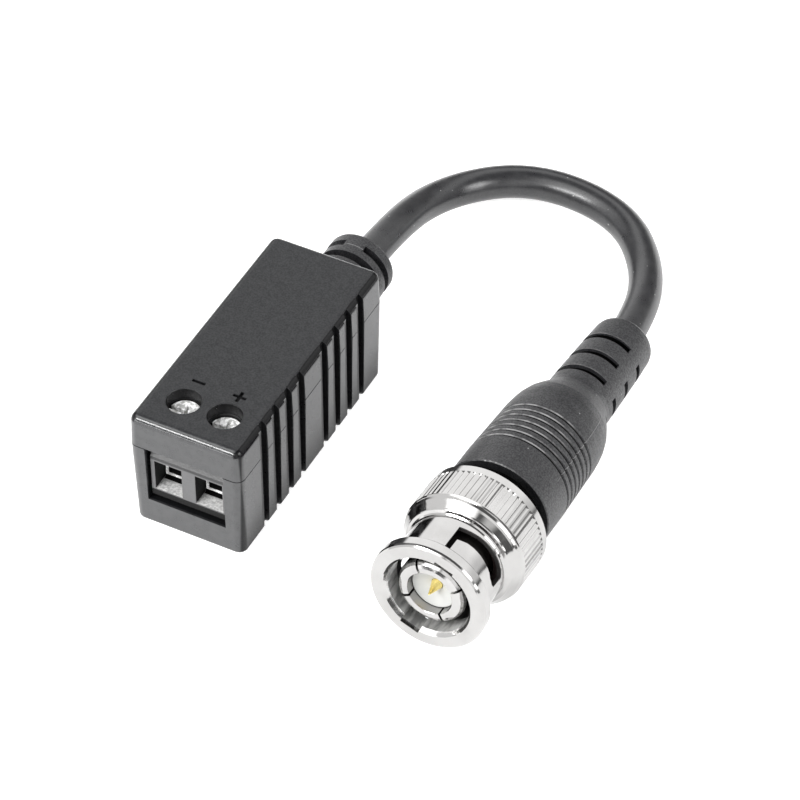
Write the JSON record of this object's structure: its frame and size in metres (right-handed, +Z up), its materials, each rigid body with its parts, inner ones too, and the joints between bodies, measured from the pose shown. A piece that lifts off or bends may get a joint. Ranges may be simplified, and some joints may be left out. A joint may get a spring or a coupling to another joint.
{
  "type": "twisted pair to coax video adapter",
  "caption": "Small rectangular case with a screw terminal at one end and a short coaxial lead with a bayonet plug at the other, for carrying video over a pair of wires.",
  "frame": {"origin": "bottom centre of the case, without its lead, strain relief and plug", "axes": "+Z up; +Y along the case from the wire entries to the lead; +X across the case towards the side where the plug lies"},
  "size_m": [0.0454, 0.074, 0.0157],
  "materials": {
    "case_plastic": "fine matt texture",
    "terminal_plastic": "satin",
    "moulded_pvc": "satin",
    "lead_jacket": "satin",
    "bright_nickel": "bright plated",
    "zinc_steel": "bright zinc",
    "gold_plate": "gold plated",
    "white_insulator": "satin",
    "board_laminate": "satin",
    "ferrite": "matt",
    "enamelled_copper": "glossy",
    "bare_copper": "satin",
    "tinned_braid": "satin",
    "chip_body": "satin",
    "arrester_body": "gloss",
    "seal_rubber": "matt"
  },
  "bodies": {
    "case": {"case_base": "case_plastic", "case_cover": "case_plastic", "circuit_board": "board_laminate", "terminal_block_housing": "terminal_plastic", "clamp_frame_minus": "zinc_steel", "clamp_frame_plus": "zinc_steel", "ferrite_core": "ferrite", "winding_a": "enamelled_copper", "winding_b": "enamelled_copper", "surge_arrester": "arrester_body", "chip_capacitor": "chip_body", "chip_resistor": "chip_body", "lead_insulation_case": "white_insulator", "lead_wire_case": "bare_copper", "lead_braid_case": "tinned_braid", "case_strain_relief": "moulded_pvc", "wave_spring": "zinc_steel", "plug_body": "bright_nickel", "plug_gasket": "seal_rubber", "plug_insulator": "white_insulator", "centre_pin": "gold_plate", "lead_wire_plug": "bare_copper", "lead_insulation_plug": "white_insulator", "lead_braid_plug": "tinned_braid", "crimp_ferrule": "bright_nickel", "plug_boot": "moulded_pvc", "coax_lead": "lead_jacket"},
    "foot_minus": {"pressure_foot_minus": "zinc_steel"},
    "foot_plus": {"pressure_foot_plus": "zinc_steel"},
    "screw_minus": {"terminal_screw_minus": "zinc_steel"},
    "screw_plus": {"terminal_screw_plus": "zinc_steel"},
    "washer": {"thrust_washer": "zinc_steel"},
    "nut": {"coupling_nut": "bright_nickel", "retaining_ring": "zinc_steel"}
  },
  "joints": [
    {"name": "foot_minus_slide", "type": "slide", "parent": "case", "child": "foot_minus", "axis": [0, 0, -1], "range_m": [0, 0.00225]},
    {"name": "screw_minus_turn", "type": "hinge", "parent": "foot_minus", "child": "screw_minus", "pos_m": [-0.00254, -0.01178, 0.0125], "axis": [0, 0, -1], "range_deg": [0, 1620.02]},
    {"name": "foot_plus_slide", "type": "slide", "parent": "case", "child": "foot_plus", "axis": [0, 0, -1], "range_m": [-0.0003, 0.00195]},
    {"name": "screw_plus_turn", "type": "hinge", "parent": "foot_plus", "child": "screw_plus", "pos_m": [0.00254, -0.01178, 0.0125], "axis": [0, 0, -1], "range_deg": [-216.02, 1404.02]},
    {"name": "nut_draw", "type": "slide", "parent": "case", "child": "washer", "axis": [-0.0135, -0.997, 0.0767], "range_m": [0, 0.0008], "stiffness_N_per_m": 2500, "springref_m": -0.0004},
    {"name": "nut_turn", "type": "hinge", "parent": "washer", "child": "nut", "pos_m": [0.031, -0.01313, 0.00789], "axis": [0.0135, 0.997, -0.0767], "continuous": true}
  ],
  "couplings": [
    {"joint": "screw_minus_turn", "follows": "foot_minus_slide", "rad_per_m": 12566},
    {"joint": "screw_plus_turn", "follows": "foot_plus_slide", "rad_per_m": 12566}
  ]
}
